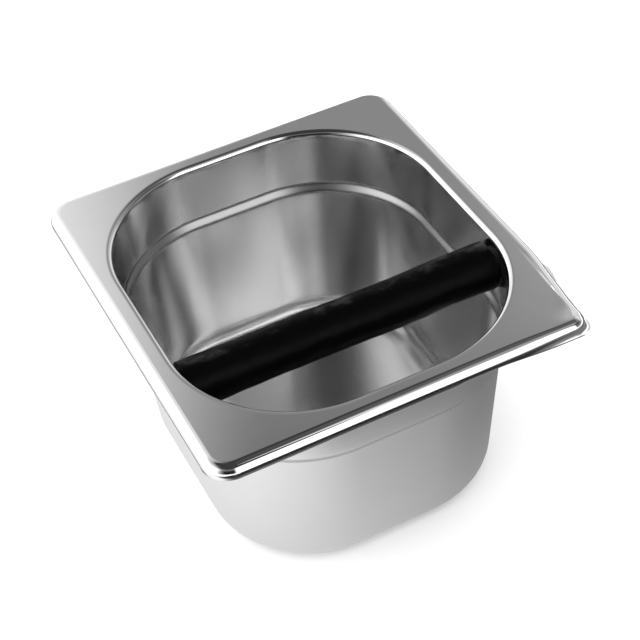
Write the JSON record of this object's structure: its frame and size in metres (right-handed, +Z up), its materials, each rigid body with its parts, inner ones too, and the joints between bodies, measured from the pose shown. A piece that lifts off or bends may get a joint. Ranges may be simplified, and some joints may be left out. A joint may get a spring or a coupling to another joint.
{
  "type": "espresso knock box",
  "caption": "Countertop knock box for spent coffee: a deep steel pan with a flat turned-down rim and a rubber covered knock bar screwed across its mouth.",
  "frame": {"origin": "centre of the pan's flat bottom face, on the surface it stands on", "axes": "+Z up; +X runs along the knock bar; +Y from the front, which the bar is nearer to, towards the back"},
  "size_m": [0.1635, 0.1775, 0.1],
  "materials": {
    "pan_steel": "satin polished stainless sheet",
    "bar_steel": "drawn stainless tube",
    "sleeve_rubber": "black rubber, soft sheen",
    "seal_rubber": "black rubber, matt",
    "fastener_steel": "plain stainless"
  },
  "bodies": {
    "box": {"pan": "pan_steel", "knock_bar_core": "bar_steel", "threaded_plug_left": "bar_steel", "threaded_plug_right": "bar_steel", "wall_seal_left": "seal_rubber", "wall_seal_right": "seal_rubber", "flat_washer_left": "fastener_steel", "flat_washer_right": "fastener_steel", "lock_washer_left": "fastener_steel", "lock_washer_right": "fastener_steel", "bar_screw_left": "fastener_steel", "bar_screw_right": "fastener_steel"},
    "sleeve": {"knock_bar_sleeve": "sleeve_rubber"}
  },
  "joints": [
    {"name": "sleeve_turn", "type": "hinge", "parent": "box", "child": "sleeve", "pos_m": [0, -0.028, 0.086], "axis": [1, 0, 0], "continuous": true}
  ]
}
